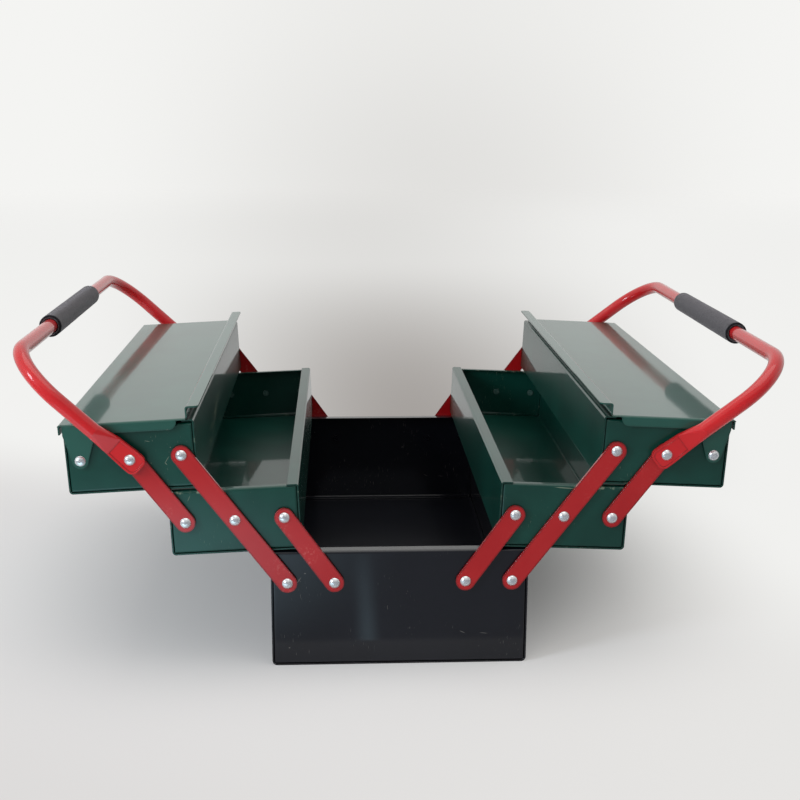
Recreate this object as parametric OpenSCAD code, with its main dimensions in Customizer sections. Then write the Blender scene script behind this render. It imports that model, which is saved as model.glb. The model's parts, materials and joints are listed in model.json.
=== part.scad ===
// Cantilever tool box of folded sheet steel, standing fully open.
//
// A deep bottom box carries two tiers of trays on each side. Flat arms and rivets at both
// ends keep the trays close to level while they swing out and up over the box walls.
// The top trays have hinged lids that meet over the middle of the closed box, and each top
// tray carries a tube handle with a foam grip.
//
// X runs across the box, Y along it and Z up. The origin is the middle of the underside.
// Everything on the right is the left side mirrored, and the front end mirrors the rear.

/* [Bottom box] */
// Width across the bottom box
box_width = 200; // [180:5:240]
// Length of the bottom box and of every tray
box_length = 430; // [300:10:560]
// Height of the side walls of the bottom box
box_height = 95.2; // [80:0.1:130]
// How far the end walls stay below the side walls
box_end_drop = 1.2; // [0.6:0.1:4]
// Width of the flange along the top of each end wall
box_end_flange = 9.4; // [6:0.2:14]
// Outside radius of the folds along the bottom of the box
box_fold_radius = 4; // [2.5:0.5:8]

/* [Trays] */
// Height of the rivet line above the underside of a tray
tray_rivet_height = 26.5; // [20:0.5:32]
// Height of the end walls of a middle tray
middle_end_height = 50.9; // [44:0.1:56]
// How much narrower than half the box a middle tray is
middle_width_step = 0.8; // [0:0.1:3]
// How much narrower than a middle tray a top tray is
top_width_step = 1.8; // [0.5:0.1:5]
// Width of the flange along the top of each inner wall
tray_flange = 9; // [5:0.5:13]
// Depth of the flanges round each end wall
tray_end_flange = 6; // [4:0.5:9]
// Outside radius of the folds along the bottom of a tray
tray_fold_radius = 3; // [2:0.5:6]

/* [Sheet metal] */
// Thickness of the steel sheet
sheet = 1.2; // [0.8:0.1:1.5]
// Outside radius of the sharp folds
fold_radius = 2; // [1.6:0.1:3]
// Depth of the hems folded along the outer walls
hem_depth = 7; // [4:0.5:11]

/* [Linkage] */
// Distance between neighbouring rivets on a tray
rivet_spacing = 37.5; // [33:0.5:40]
// Distance of the outer box rivet from the side wall
box_rivet_inset = 12.85; // [10:0.05:18]
// Distance between neighbouring rivets on a long arm
arm_pitch = 64.8; // [60:0.2:74]
// Lean of the long arms away from upright when the box is open
arm_lean_open = 37; // [32:0.5:42]
// Width of the arms
arm_width = 15; // [12:0.5:18]
// Thickness of the arms
arm_thickness = 2.2; // [1.6:0.1:3]
// Slope of the opened middle trays, outer edge down
middle_droop = 2.5; // [0:0.1:4]
// Slope of the opened top trays, outer edge down
top_droop = 2.9; // [0:0.1:4]

/* [Rivets] */
// Diameter of the rivet shanks
rivet_diameter = 5; // [4:0.1:6]
// Diameter of the domed rivet heads
rivet_head_diameter = 8.3; // [7.4:0.1:10]
// Height of the domed rivet heads
rivet_head_height = 2.4; // [1.6:0.1:3]

/* [Lids] */
// Height of the lid's underside above the rivet line
lid_height = 27; // [26:0.1:32]
// Depth of the flanges that hang from the lid's edges
lid_flange = 8; // [5:0.5:12]
// How far the lid reaches past the outer wall of its tray
lid_side_overhang = 3.6; // [2.6:0.1:5]
// Height of the raised strip above the lid
strip_rise = 8.9; // [5:0.1:14]
// Width of the raised strip
strip_width = 10.1; // [7:0.1:14]
// How far the raised strip reaches past the inner wall of its tray
strip_overhang = 4.4; // [2:0.1:7]
// How far short of the lid's ends the raised strip stops
strip_setback = 2; // [1:0.5:8]
// How far short of the strip the end flanges stop
lid_flange_stop = 7; // [4:0.5:12]
// Radius of the ears round the lid's hinge rivets
ear_radius = 6; // [5.5:0.5:9]
// Diameter of the padlock hole through the riser under each raised strip
lock_hole_diameter = 5; // [3:0.5:6]

/* [Handles] */
// Distance from the pivot to the middle of the crossbar
handle_reach = 114; // [104:1:130]
// Diameter of the handle tube
tube_diameter = 12; // [10:0.5:14]
// Wall of the handle tube
tube_wall = 1.5; // [1:0.1:2]
// Bend radius of the handle corners, to the middle of the tube
handle_bend = 46; // [30:1:60]
// Width of the flattened tube ends, at the pivot
flat_width = 17; // [16:0.5:19]
// Width of the flattened tube ends where they start to turn round
flat_neck = 15.4; // [14:0.1:16]
// Length of the flattened part, from the pivot
flat_length = 16; // [12:0.5:22]
// How far the flattened part reaches past the pivot
flat_reach = 10.5; // [9:0.5:13]
// Length over which the tube turns from flat to round
flat_blend = 18; // [14:1:30]
// Angle of the left handle above its tray
left_handle_angle = 45.8; // [35:0.1:60]
// Angle of the right handle above its tray
right_handle_angle = 40.1; // [35:0.1:60]
// Length of the foam grips
grip_length = 173.5; // [120:0.5:200]
// Diameter of the foam grips
grip_diameter = 19; // [17:0.5:24]

/* [Hidden] */
$fn = 48;

// Clearances
rest_gap = 0.3;        // between pieces that rest on each other
meet_gap = 0.6;        // from the middle of the closed box to each raised strip
swing_gap = 0.5;       // between a turning lid and its tray
fit_gap = 0.05;        // round a rivet in the wall that holds it
pivot_gap = 0.08;      // round a rivet in an arm that turns on it
inner_arm_gap = 0.35;  // round the tray rivet of an inner arm, which takes up the droop
side_play = 0.1;       // along a rivet, on each side of what turns on it
arm_gap = 0.6;         // between an end wall and the arms
handle_gap = 1.6;      // between an arm and a flattened handle end
lid_end_gap = 1.6;     // between an end wall and the lid's end flange
hem_end_gap = 0.3;     // between a hem and the flanges of the end wall

// Small details
least_fold = 0.4;      // inside radius of the tightest fold
corner_notch = 0.9;    // cut from an end wall where the inner wall is folded over it
lid_flange_corner = 6; // rounded lower corner of the lid's end flanges
lid_corner_gap = 2.6;  // by which the lid's side flange stops short of its end flanges
strip_corner = 3;      // rounded corners of the raised strip
ear_spread = 13.2;     // from the hinge rivet to the inner edge of the ear, at the flange
ear_overlap = 0.02;    // how far the straight sides of the ear run into its round end
grip_edge = 1.2;       // rounding of the foam at its ends
press_slit = 0.4;      // left open inside the pressed tube ends
flat_press = 1;        // length over which the blend meets the flat and the round tube
flat_corner = 5.5;     // rounded corners of the flattened ends
flat_rim = 1.6;        // rounded rim that pressing leaves round a flattened end
flat_dish = 0.4;       // depth of the face inside that rim

// Rivet details
rivet_radius = rivet_diameter / 2;
rivet_head_radius = rivet_head_diameter / 2;
rivet_tail_radius = 3.1;
rivet_tail_height = 1;
rivet_shoulder_radius = 4.2;
washer_radius = 7;
turning_hole = rivet_radius + pivot_gap;

// Tray sizes
middle_half = (box_width / 2 - middle_width_step) / 2;
top_half = middle_half - top_width_step / 2;
middle_inner_height = middle_end_height + sheet;
box_end_height = box_height - box_end_drop;
top_inner_height = tray_rivet_height + lid_height - rest_gap;
lid_swing_radius = lid_height - swing_gap;
top_rim_height = tray_rivet_height
    + sqrt(pow(lid_swing_radius, 2) - pow(top_half - rivet_spacing, 2));

// Linkage, seen from the front with the left side to the left
box_pivot_x = box_width / 2 - box_rivet_inset;
open_dx = arm_pitch * sin(arm_lean_open);
open_dz = arm_pitch * cos(arm_lean_open);
closed_dx = (box_pivot_x + rivet_spacing - top_half - strip_overhang - meet_gap) / 2;
arm_lean_closed = asin(closed_dx / arm_pitch);
closed_dz = arm_pitch * cos(arm_lean_closed);

// An opened middle tray rests on the side wall of the box
rest_offset = open_dx - box_rivet_inset;
middle_x = -box_pivot_x - open_dx;
middle_z = box_height + rest_gap + tray_rivet_height / cos(middle_droop)
    - rest_offset * tan(middle_droop);
box_pivot_z = middle_z - open_dz;

// An opened top tray rests on the outer wall of the middle tray
middle_outer_height = tray_rivet_height
    + (open_dz + (open_dx - middle_half * cos(middle_droop)) * tan(top_droop)
       - tray_rivet_height / cos(top_droop) - rest_gap + middle_half * sin(middle_droop))
    / (cos(middle_droop) + sin(middle_droop) * tan(top_droop));
top_x = middle_x - open_dx - rivet_spacing * cos(top_droop);
top_z = middle_z + open_dz - rivet_spacing * sin(top_droop);

// The box rivets sit a little closer than the tray rivets, so that the same inner arm
// leaves the tray level when closed and drooping when open
closed_reach = closed_dx + rivet_spacing;
open_reach = rivet_spacing * cos(middle_droop) - open_dx;
open_rise = open_dz + rivet_spacing * sin(middle_droop);
box_rivet_spacing = (pow(closed_reach, 2) + pow(closed_dz, 2)
    - pow(open_reach, 2) - pow(open_rise, 2)) / (2 * (closed_reach - open_reach));
inner_arm_pitch = norm([closed_reach - box_rivet_spacing, closed_dz]);
inner_arm_lean = atan((box_rivet_spacing - open_reach) / open_rise);

// Outer arm, from the outer rivet of the middle tray to the middle rivet of the top tray
outer_arm_dx = open_dx + rivet_spacing * (cos(top_droop) - cos(middle_droop));
outer_arm_dz = open_dz - rivet_spacing * (sin(top_droop) - sin(middle_droop));
outer_arm_open = norm([outer_arm_dx, outer_arm_dz]);
outer_arm_pitch = (outer_arm_open + arm_pitch) / 2;
outer_arm_lean = atan(outer_arm_dx / outer_arm_dz);
outer_arm_gap = pivot_gap + abs(arm_pitch - outer_arm_open) / 2;

// Layers outside an end wall
arm_stack = arm_gap + arm_thickness;
flat_inner = arm_stack + handle_gap;
flat_thickness = 2 * tube_wall + press_slit;
lid_stack = lid_end_gap + sheet;
tube_radius = tube_diameter / 2;
tube_layer = flat_inner + tube_radius;

// Rivet places, outwards from the middle on the box and from the middle rivet on a tray
box_rivets_x = [box_pivot_x, box_pivot_x - box_rivet_spacing];
tray_rivets_x = [-rivet_spacing, 0, rivet_spacing];
hole_length = 40;      // longer than any stack that a rivet goes through

// Colours
box_black = "#22262e";
tray_green = "#2b4c45";
lid_green = "#305048";
arm_red = "#b02a2e";
handle_red = "#c9353a";
foam_grey = "#58565a";
zinc = "#c9cdd0";

// Lid outline, measured from the middle rivet of the top tray
lid_outer = top_half + lid_side_overhang;
strip_inner = top_half + strip_overhang;
riser_x = strip_inner - strip_width;
lid_top = lid_height + sheet;
strip_top = lid_top + strip_rise;
lid_end = box_length / 2 + lid_stack;

// ---- Places ----

module at_rear() translate([0, box_length / 2, 0]) children();
module at_front() mirror([0, 1, 0]) at_rear() children();
module at_both_ends() { at_front() children(); at_rear() children(); }
module on_right() mirror([1, 0, 0]) children();

// Frames of the opened left trays: the origin is the middle rivet's axis
module at_middle_tray() translate([middle_x, 0, middle_z]) rotate([0, -middle_droop, 0]) children();
module at_top_tray() translate([top_x, 0, top_z]) rotate([0, -top_droop, 0]) children();
module at_left_handle() at_top_tray() rotate([0, left_handle_angle, 0]) children();
module at_right_handle() on_right() at_top_tray() rotate([0, right_handle_angle, 0]) children();

// ---- Flat shapes ----

// A rectangle standing on the X axis with its two lower corners rounded
module trough(half, height, radius) {
    translate([-half, radius]) square([2 * half, height - radius]);
    translate([radius - half, 0]) square([2 * (half - radius), radius]);
    for (side = [-1, 1]) translate([side * (half - radius), radius]) circle(radius);
}

// A band of the sheet's thickness through a quarter turn, centred on the origin
module quarter_fold(radius) {
    intersection() {
        difference() {
            circle(radius);
            circle(radius - sheet);
        }
        square(radius);
    }
}

// A strip with round ends, from the origin to a point above it
module strip_with_round_ends(length, width) {
    translate([-width / 2, 0]) square([width, length]);
    circle(width / 2);
    translate([0, length]) circle(width / 2);
}

// Half of a domed head, for turning round the vertical axis
module dome(radius, height) {
    ball = (pow(radius, 2) + pow(height, 2)) / (2 * height);
    intersection() {
        translate([0, height - ball]) circle(ball);
        square([radius, height]);
    }
}

// Stands a flat shape upright across the box and gives it depth towards the box
module upright(depth) rotate([90, 0, 0]) linear_extrude(depth) children();

// The same, along the whole box or tray
module along_box(length) rotate([90, 0, 0]) linear_extrude(length, center = true) children();

// ---- Folded sheet ----

// Inside radius of a fold with the given outside radius
function inside(radius) = max(radius - sheet, least_fold);

// Bottom folded up into a left and a right wall
module channel_section(half, left_height, right_height, radius) {
    tall = max(left_height, right_height);
    difference() {
        trough(half, tall, radius);
        translate([0, sheet]) trough(half - sheet, tall, inside(radius));
        translate([-half, left_height]) square([half, tall]);
        translate([0, right_height]) square([half, tall]);
    }
}

// Hem along the top of the left wall, folded flat to the inside
module hem_section(half, height) {
    translate([-half, height - hem_depth]) square([2 * sheet, hem_depth - sheet]);
    translate([sheet - half, height - sheet]) intersection() {
        circle(sheet);
        translate([-sheet, 0]) square([2 * sheet, sheet]);
    }
}

// Hem that stops short of the end walls, where the bare wall keeps its height
module hem(half, height, end_flange) {
    bare = end_flange + hem_end_gap;
    along_box(box_length - 2 * bare) hem_section(half, height);
    for (end = [0, 1]) mirror([0, end, 0])
        translate([-half, box_length / 2 - bare, height - 2 * sheet])
            cube([sheet, bare, 2 * sheet]);
}

// Tray sheet: bottom, hemmed outer wall and flanged inner wall
module tray_sheet(half, inner_height, outer_height) {
    along_box(box_length) {
        channel_section(half, outer_height - sheet, inner_height - fold_radius, tray_fold_radius);
        translate([half - fold_radius, inner_height - fold_radius]) quarter_fold(fold_radius);
        translate([half - tray_flange, inner_height - sheet])
            square([tray_flange - fold_radius, sheet]);
    }
    hem(half, outer_height, tray_end_flange);
}

// A rectangle behind the X axis whose two front corners are rounded
module rounded_front(half, depth, radius) {
    translate([-half, -depth]) square([2 * half, depth - radius]);
    translate([radius - half, -depth]) square([2 * (half - radius), depth]);
    for (side = [-1, 1]) translate([side * (half - radius), -radius]) circle(radius);
}

// A block whose front face is at y = 0, with the edges round that face rounded
module soft_block(half, bottom, top, depth, corner, edge) {
    middle = (top + bottom) / 2;
    intersection() {
        translate([0, 0, bottom]) upright(depth) trough(half, top - bottom, corner);
        translate([0, 0, bottom]) linear_extrude(top - bottom) rounded_front(half, depth, edge);
        translate([0, 0, middle]) rotate([0, -90, 0]) linear_extrude(2 * half, center = true)
            rounded_front((top - bottom) / 2, depth, edge);
    }
}

// End wall: a shallow pressed pan that fits inside the folded sheet, flanges inwards
module end_pan(half, height, depth, corner) {
    seat = inside(corner);
    difference() {
        soft_block(half - sheet, sheet, height, depth, seat, fold_radius);
        translate([0, -sheet, 0])
            soft_block(half - 2 * sheet, 2 * sheet, height - sheet, depth, inside(seat),
                       inside(fold_radius));
    }
}

// ---- Rivets ----

// A rivet through an end wall, whose outer face is at y = 0. It stands off what turns on it
// by a shoulder, and its domed head closes the stack.
module rivet(stand_off, stack) {
    rotate([-90, 0, 0]) rotate_extrude() {
        translate([0, -sheet]) square([rivet_radius, sheet + stack + side_play]);
        square([rivet_shoulder_radius, stand_off - side_play]);
        translate([0, -sheet - rivet_tail_height]) square([rivet_tail_radius, rivet_tail_height]);
        translate([0, stack + side_play]) dome(rivet_head_radius, rivet_head_height);
    }
}

// A round hole along the box, at a place on an end wall
module hole_at(x, z, radius)
    translate([x, 0, z]) rotate([90, 0, 0]) cylinder(r = radius, h = hole_length, center = true);

module wall_hole(x, z) hole_at(x, z, rivet_radius + fit_gap);

// ---- Bottom box ----

module box_shell() color(box_black) {
    along_box(box_length)
        channel_section(box_width / 2, box_height - sheet, box_height - sheet, box_fold_radius);
    hem(box_width / 2, box_height, box_end_flange);
    on_right() hem(box_width / 2, box_height, box_end_flange);
}

module box_end() color(box_black) difference() {
    end_pan(box_width / 2, box_end_height, box_end_flange, box_fold_radius);
    for (side = [-1, 1], x = box_rivets_x) wall_hole(side * x, box_pivot_z);
}

module box_front_end() at_front() box_end();
module box_rear_end() at_rear() box_end();

module box_rivets() color(zinc) at_both_ends()
    for (side = [-1, 1], x = box_rivets_x) translate([side * x, 0, box_pivot_z])
        rivet(arm_gap, arm_stack);

// ---- Middle trays ----

module middle_shell() color(tray_green) at_middle_tray() translate([0, 0, -tray_rivet_height])
    tray_sheet(middle_half, middle_inner_height, middle_outer_height);

module middle_end() color(tray_green) difference() {
    translate([0, 0, -tray_rivet_height])
        end_pan(middle_half, middle_end_height, tray_end_flange, tray_fold_radius);
    for (x = tray_rivets_x) wall_hole(x, 0);
    along_box(hole_length)
        translate([middle_half - sheet - corner_notch,
                   middle_end_height - tray_rivet_height - corner_notch])
            square(2 * corner_notch);
}

module middle_rivets() color(zinc) at_middle_tray() at_both_ends()
    for (x = tray_rivets_x) translate([x, 0, 0]) rivet(arm_gap, arm_stack);

module left_middle_shell() middle_shell();
module left_middle_front_end() at_middle_tray() at_front() middle_end();
module left_middle_rear_end() at_middle_tray() at_rear() middle_end();
module left_middle_rivets() middle_rivets();
module right_middle_shell() on_right() middle_shell();
module right_middle_front_end() on_right() left_middle_front_end();
module right_middle_rear_end() on_right() left_middle_rear_end();
module right_middle_rivets() on_right() middle_rivets();

// ---- Top trays ----

module top_shell() color(tray_green) at_top_tray() translate([0, 0, -tray_rivet_height])
    tray_sheet(top_half, top_inner_height, top_rim_height);

module top_end() color(tray_green) difference() {
    translate([0, 0, -tray_rivet_height])
        end_pan(top_half, top_rim_height, tray_end_flange, tray_fold_radius);
    for (x = tray_rivets_x) wall_hole(x, 0);
}

// From the outside in: the lid's hinge, the handle's pivot and the end of the long arm
module top_rivets() color(zinc) at_top_tray() at_both_ends() {
    translate([-rivet_spacing, 0, 0]) rivet(lid_end_gap, lid_stack);
    rivet(arm_gap, flat_inner + flat_thickness - flat_dish);
    translate([rivet_spacing, 0, 0]) rivet(arm_gap, arm_stack);
}

// Washers between the outer arms and the flattened handle ends
module handle_washers() color(zinc) at_top_tray() at_both_ends()
    translate([0, arm_stack + side_play, 0]) rotate([-90, 0, 0]) difference() {
        cylinder(r = washer_radius, h = handle_gap - 2 * side_play);
        cylinder(r = rivet_radius + fit_gap, h = hole_length, center = true);
    }

module left_top_shell() top_shell();
module left_top_front_end() at_top_tray() at_front() top_end();
module left_top_rear_end() at_top_tray() at_rear() top_end();
module left_top_rivets() top_rivets();
module left_handle_washers() handle_washers();
module right_top_shell() on_right() top_shell();
module right_top_front_end() on_right() left_top_front_end();
module right_top_rear_end() on_right() left_top_rear_end();
module right_top_rivets() on_right() top_rivets();
module right_handle_washers() on_right() handle_washers();

// ---- Lids ----

// Section of the panel with its outer flange, or of the space under them
module lid_section(inset) {
    edge = fold_radius - inset;
    left = inset - lid_outer;
    top = lid_top - inset;
    bottom = lid_top - lid_flange - 2 * inset;
    translate([left, bottom]) square([riser_x - left + inset, top - bottom - edge]);
    translate([left + edge, bottom]) square([riser_x - left - edge + inset, top - bottom]);
    translate([left + edge, top - edge]) circle(edge);
}

// The same panel seen from its side, with a flange at each end
module lid_side_section(inset) {
    height = lid_flange + inset;
    translate([0, lid_top - inset]) rounded_front(lid_end - inset, height, fold_radius - inset);
}

module lid_block(inset) intersection() {
    along_box(2 * lid_end) lid_section(inset);
    rotate([90, 0, 90]) linear_extrude(4 * lid_outer, center = true) lid_side_section(inset);
}

// What is cut from the end flanges beside the raised strip, leaving a rounded corner
module flange_stop_section() {
    stop = riser_x - lid_flange_stop;
    lower = lid_top - lid_flange;
    difference() {
        translate([stop - lid_flange_corner, lower - lid_flange])
            square([2 * lid_outer, lid_height - lower + lid_flange]);
        translate([stop - lid_flange_corner, lower + lid_flange_corner])
            circle(lid_flange_corner);
        translate([stop - lid_flange_corner, lower + lid_flange_corner])
            square([lid_flange_corner, lid_flange]);
    }
}

// Riser folded up from the panel and strip folded over towards the other lid
module strip_section() {
    translate([riser_x + sheet - fold_radius, lid_height + fold_radius])
        rotate(-90) quarter_fold(fold_radius);
    translate([riser_x, lid_height + fold_radius])
        square([sheet, strip_top - lid_height - 2 * fold_radius]);
    translate([riser_x + fold_radius, strip_top - fold_radius])
        rotate(90) quarter_fold(fold_radius);
    translate([riser_x + fold_radius, strip_top - sheet])
        square([strip_width - fold_radius, sheet]);
}

// Touching point, on a circle round the origin, of the line from a point outside it
function touch(point, radius, turn) =
    let (angle = atan2(point.y, point.x) + turn * acos(radius / norm(point)))
    radius * [cos(angle), sin(angle)];

// Ear that reaches from the end flange down round the hinge rivet, level with the tray's
// outer wall
module ear_section() {
    lower = lid_top - lid_flange;
    inner = [ear_spread, lower];
    outer = [rivet_spacing - top_half, lower];
    upper = lid_height - fold_radius;
    reach = ear_radius - ear_overlap;
    polygon([[outer.x, upper], [inner.x, upper], inner, touch(inner, reach, -1), [0, 0],
             touch(outer, reach, 1), outer]);
    circle(ear_radius);
}

// What is cut from under the outer corners of the panel, so that its flanges stand apart
module corner_gap() at_both_ends()
    translate([-top_half - lid_outer, lid_stack - lid_corner_gap, lid_height - lid_outer])
        cube(lid_outer);

// Padlock hole at the middle of the riser
module lock_hole() translate([riser_x, 0, (lid_height + strip_top) / 2]) rotate([0, 90, 0])
    cylinder(d = lock_hole_diameter, h = 4 * sheet, center = true);

module lid() color(lid_green) at_top_tray() {
    difference() {
        lid_block(0);
        lid_block(sheet);
        along_box(4 * lid_end) flange_stop_section();
        corner_gap();
    }
    difference() {
        intersection() {
            along_box(2 * (lid_end - strip_setback)) strip_section();
            translate([riser_x, 0, 0]) rotate([0, 0, -90]) linear_extrude(2 * strip_top)
                strip_plan();
        }
        lock_hole();
    }
    at_both_ends() translate([-rivet_spacing, lid_stack, 0]) difference() {
        upright(sheet) ear_section();
        hole_at(0, 0, turning_hole);
    }
}

// Outline of the riser and strip from above, its free corners rounded
module strip_plan() {
    half = lid_end - strip_setback;
    translate([0, strip_width]) rounded_front(half, strip_width + 2 * sheet, strip_corner);
}

module left_lid() lid();
module right_lid() on_right() lid();

// ---- Arms ----

// A flat arm that stands up from its lower rivet, drilled at the given heights.
// Each hole is [height, radius].
module arm(holes) {
    top = holes[len(holes) - 1];
    translate([0, arm_stack, 0]) difference() {
        upright(arm_thickness) strip_with_round_ends(top[0], arm_width);
        for (hole = holes) hole_at(0, hole[0], hole[1]);
    }
}

module long_arm() color(arm_red) translate([-box_pivot_x, 0, box_pivot_z])
    rotate([0, -arm_lean_open, 0])
        arm([[0, turning_hole], [arm_pitch, turning_hole], [2 * arm_pitch, turning_hole]]);

module inner_arm() color(arm_red)
    translate([box_rivet_spacing - box_pivot_x, 0, box_pivot_z])
        rotate([0, -inner_arm_lean, 0])
            arm([[0, turning_hole], [inner_arm_pitch, rivet_radius + inner_arm_gap]]);

module outer_arm() color(arm_red) at_middle_tray() translate([-rivet_spacing, 0, 0])
    rotate([0, middle_droop - outer_arm_lean, 0])
        arm([[0, turning_hole], [outer_arm_pitch, rivet_radius + outer_arm_gap]]);

module left_front_long_arm() at_front() long_arm();
module left_rear_long_arm() at_rear() long_arm();
module right_front_long_arm() on_right() left_front_long_arm();
module right_rear_long_arm() on_right() left_rear_long_arm();
module left_front_inner_arm() at_front() inner_arm();
module left_rear_inner_arm() at_rear() inner_arm();
module right_front_inner_arm() on_right() left_front_inner_arm();
module right_rear_inner_arm() on_right() left_rear_inner_arm();
module left_front_outer_arm() at_front() outer_arm();
module left_rear_outer_arm() at_rear() outer_arm();
module right_front_outer_arm() on_right() left_front_outer_arm();
module right_rear_outer_arm() on_right() left_rear_outer_arm();

// ---- Handles ----

// A rod that follows the round part of the handle, at the rear end only
module handle_rod(radius) {
    leg_straight = handle_reach - handle_bend;
    round_from = flat_length + flat_blend;
    translate([-leg_straight, tube_layer, 0]) rotate([0, 90, 0])
        cylinder(r = radius, h = leg_straight - round_from);
    translate([-leg_straight, tube_layer - handle_bend, 0]) rotate([0, 0, 90])
        rotate_extrude(angle = 90) translate([handle_bend, 0]) circle(radius);
}

module crossbar_rod(radius, length) translate([-handle_reach, 0, 0]) rotate([90, 0, 0])
    cylinder(r = radius, h = length, center = true);

module whole_rod(radius) {
    at_both_ends() handle_rod(radius);
    crossbar_rod(radius, box_length + 2 * (tube_layer - handle_bend));
}

// Outline of a flattened end, seen along the box, or of the dish inside its rim
module flat_outline(inset) {
    neck = flat_neck / 2 - inset;
    half = flat_width / 2 - inset;
    corner = flat_corner - inset;
    tip = flat_reach - inset;
    polygon([[-flat_length, -neck], [0, -half], [tip - corner, -half], [tip - corner, half],
             [0, half], [-flat_length, neck]]);
    translate([0, corner - half]) square([tip, 2 * (half - corner)]);
    for (side = [-1, 1]) translate([tip - corner, side * (half - corner)]) circle(corner);
}

// The flattened end, dished on its outer face
module flat_end() translate([0, flat_inner + flat_thickness, 0]) difference() {
    upright(flat_thickness) flat_outline(0);
    translate([0, flat_dish, 0]) upright(2 * flat_dish) flat_outline(flat_rim);
}

// Blend from the flattened end to the round tube. The inset is 0 for the outside of the tube
// and its wall for the inside.
module flat_blend_rod(inset) {
    half = flat_neck / 2 - inset;
    hull() {
        translate([-flat_length, flat_inner + inset, -half])
            cube([flat_press, flat_thickness - 2 * inset, 2 * half]);
        translate([-flat_length - flat_blend, tube_layer, 0]) rotate([0, 90, 0])
            cylinder(r = tube_radius - inset, h = flat_press);
    }
}

// What stays open inside a flattened end, as far as its tip
module pressed_slit() {
    half = flat_neck / 2 - tube_wall;
    translate([-flat_length, flat_inner + tube_wall, -half])
        cube([flat_length + 2 * flat_reach, press_slit, 2 * half]);
}

// The handle lies out level from its pivot, before it is raised to its angle
module handle() color(handle_red) difference() {
    union() {
        whole_rod(tube_radius);
        at_both_ends() {
            flat_blend_rod(0);
            flat_end();
        }
    }
    whole_rod(tube_radius - tube_wall);
    at_both_ends() {
        flat_blend_rod(tube_wall);
        pressed_slit();
        hole_at(0, 0, turning_hole);
    }
}

module grip() color(foam_grey) translate([-handle_reach, 0, 0]) rotate([90, 0, 0])
    rotate_extrude() difference() {
        translate([0, -grip_length / 2]) grip_section();
        translate([0, -grip_length]) square([tube_radius + fit_gap, 2 * grip_length]);
    }

// Half section of the foam sleeve, its ends rounded
module grip_section() {
    radius = grip_diameter / 2;
    translate([0, grip_edge]) square([radius, grip_length - 2 * grip_edge]);
    square([radius - grip_edge, grip_length]);
    for (end = [grip_edge, grip_length - grip_edge])
        translate([radius - grip_edge, end]) circle(grip_edge);
}

module left_handle() at_left_handle() handle();
module right_handle() at_right_handle() handle();
module left_grip() at_left_handle() grip();
module right_grip() at_right_handle() grip();

box_shell();
box_front_end();
box_rear_end();
box_rivets();
left_middle_shell();
left_middle_front_end();
left_middle_rear_end();
left_middle_rivets();
right_middle_shell();
right_middle_front_end();
right_middle_rear_end();
right_middle_rivets();
left_top_shell();
left_top_front_end();
left_top_rear_end();
left_top_rivets();
left_handle_washers();
right_top_shell();
right_top_front_end();
right_top_rear_end();
right_top_rivets();
right_handle_washers();
left_lid();
right_lid();
left_front_long_arm();
left_rear_long_arm();
right_front_long_arm();
right_rear_long_arm();
left_front_inner_arm();
left_rear_inner_arm();
right_front_inner_arm();
right_rear_inner_arm();
left_front_outer_arm();
left_rear_outer_arm();
right_front_outer_arm();
right_rear_outer_arm();
left_handle();
right_handle();
left_grip();
right_grip();
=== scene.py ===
"""Cantilever tool box, fully open, on a plain pale floor.

The folded-steel box, trays, lids, arms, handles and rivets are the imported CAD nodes, with
enamel and zinc finishes from shader nodes. The two foam grips are made here with Geometry
Nodes and stand for their plain CAD sleeves.
"""
import json
import math

import bmesh
import bpy
from mathutils import Matrix, Vector


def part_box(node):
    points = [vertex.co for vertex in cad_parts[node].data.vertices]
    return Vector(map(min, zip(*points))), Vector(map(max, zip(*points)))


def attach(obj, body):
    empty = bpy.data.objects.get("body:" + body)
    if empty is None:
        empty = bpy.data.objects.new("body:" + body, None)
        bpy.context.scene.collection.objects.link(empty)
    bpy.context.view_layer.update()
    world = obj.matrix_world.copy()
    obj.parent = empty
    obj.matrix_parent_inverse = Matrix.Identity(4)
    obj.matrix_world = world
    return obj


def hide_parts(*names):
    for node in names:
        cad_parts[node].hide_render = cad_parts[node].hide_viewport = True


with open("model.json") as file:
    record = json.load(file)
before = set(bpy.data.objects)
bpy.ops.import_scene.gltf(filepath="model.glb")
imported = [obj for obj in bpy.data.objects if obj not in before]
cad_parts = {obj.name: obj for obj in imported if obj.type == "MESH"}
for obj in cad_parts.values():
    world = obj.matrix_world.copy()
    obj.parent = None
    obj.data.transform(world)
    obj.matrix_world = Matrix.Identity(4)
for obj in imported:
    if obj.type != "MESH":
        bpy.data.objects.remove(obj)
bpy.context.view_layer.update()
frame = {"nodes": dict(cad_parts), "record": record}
MM = 0.001

# ---- Camera, fitted to the photograph ----

CAMERA_PLACE = Vector((-0.04588, -1.14397, 0.43363))
CAMERA_YAW = -2.791     # degrees, to the left of straight along the box
CAMERA_PITCH = -13.312  # degrees, below level
CAMERA_ROLL = 0.234     # degrees
CAMERA_LENS = 57.27     # millimetres, on a sensor 36 mm wide
SENSOR_WIDTH = 36.0


def make_camera():
    camera = bpy.data.cameras.new("camera")
    camera.sensor_width = SENSOR_WIDTH
    camera.lens = CAMERA_LENS
    camera.clip_end = 100
    seen = bpy.data.objects.new("camera", camera)
    turns = ((CAMERA_YAW, "Z"), (90 + CAMERA_PITCH, "X"), (CAMERA_ROLL, "Z"))
    place = Matrix.Translation(CAMERA_PLACE)
    for degrees, axis in turns:
        place = place @ Matrix.Rotation(math.radians(degrees), 4, axis)
    seen.matrix_world = place
    bpy.context.scene.collection.objects.link(seen)
    bpy.context.scene.camera = seen


# ---- Nodes ----


def socket(sockets, key):
    """The socket in use with that name, or at that index."""
    if isinstance(key, int):
        return sockets[key]
    return next(s for s in sockets if s.name == key and s.enabled)


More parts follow.
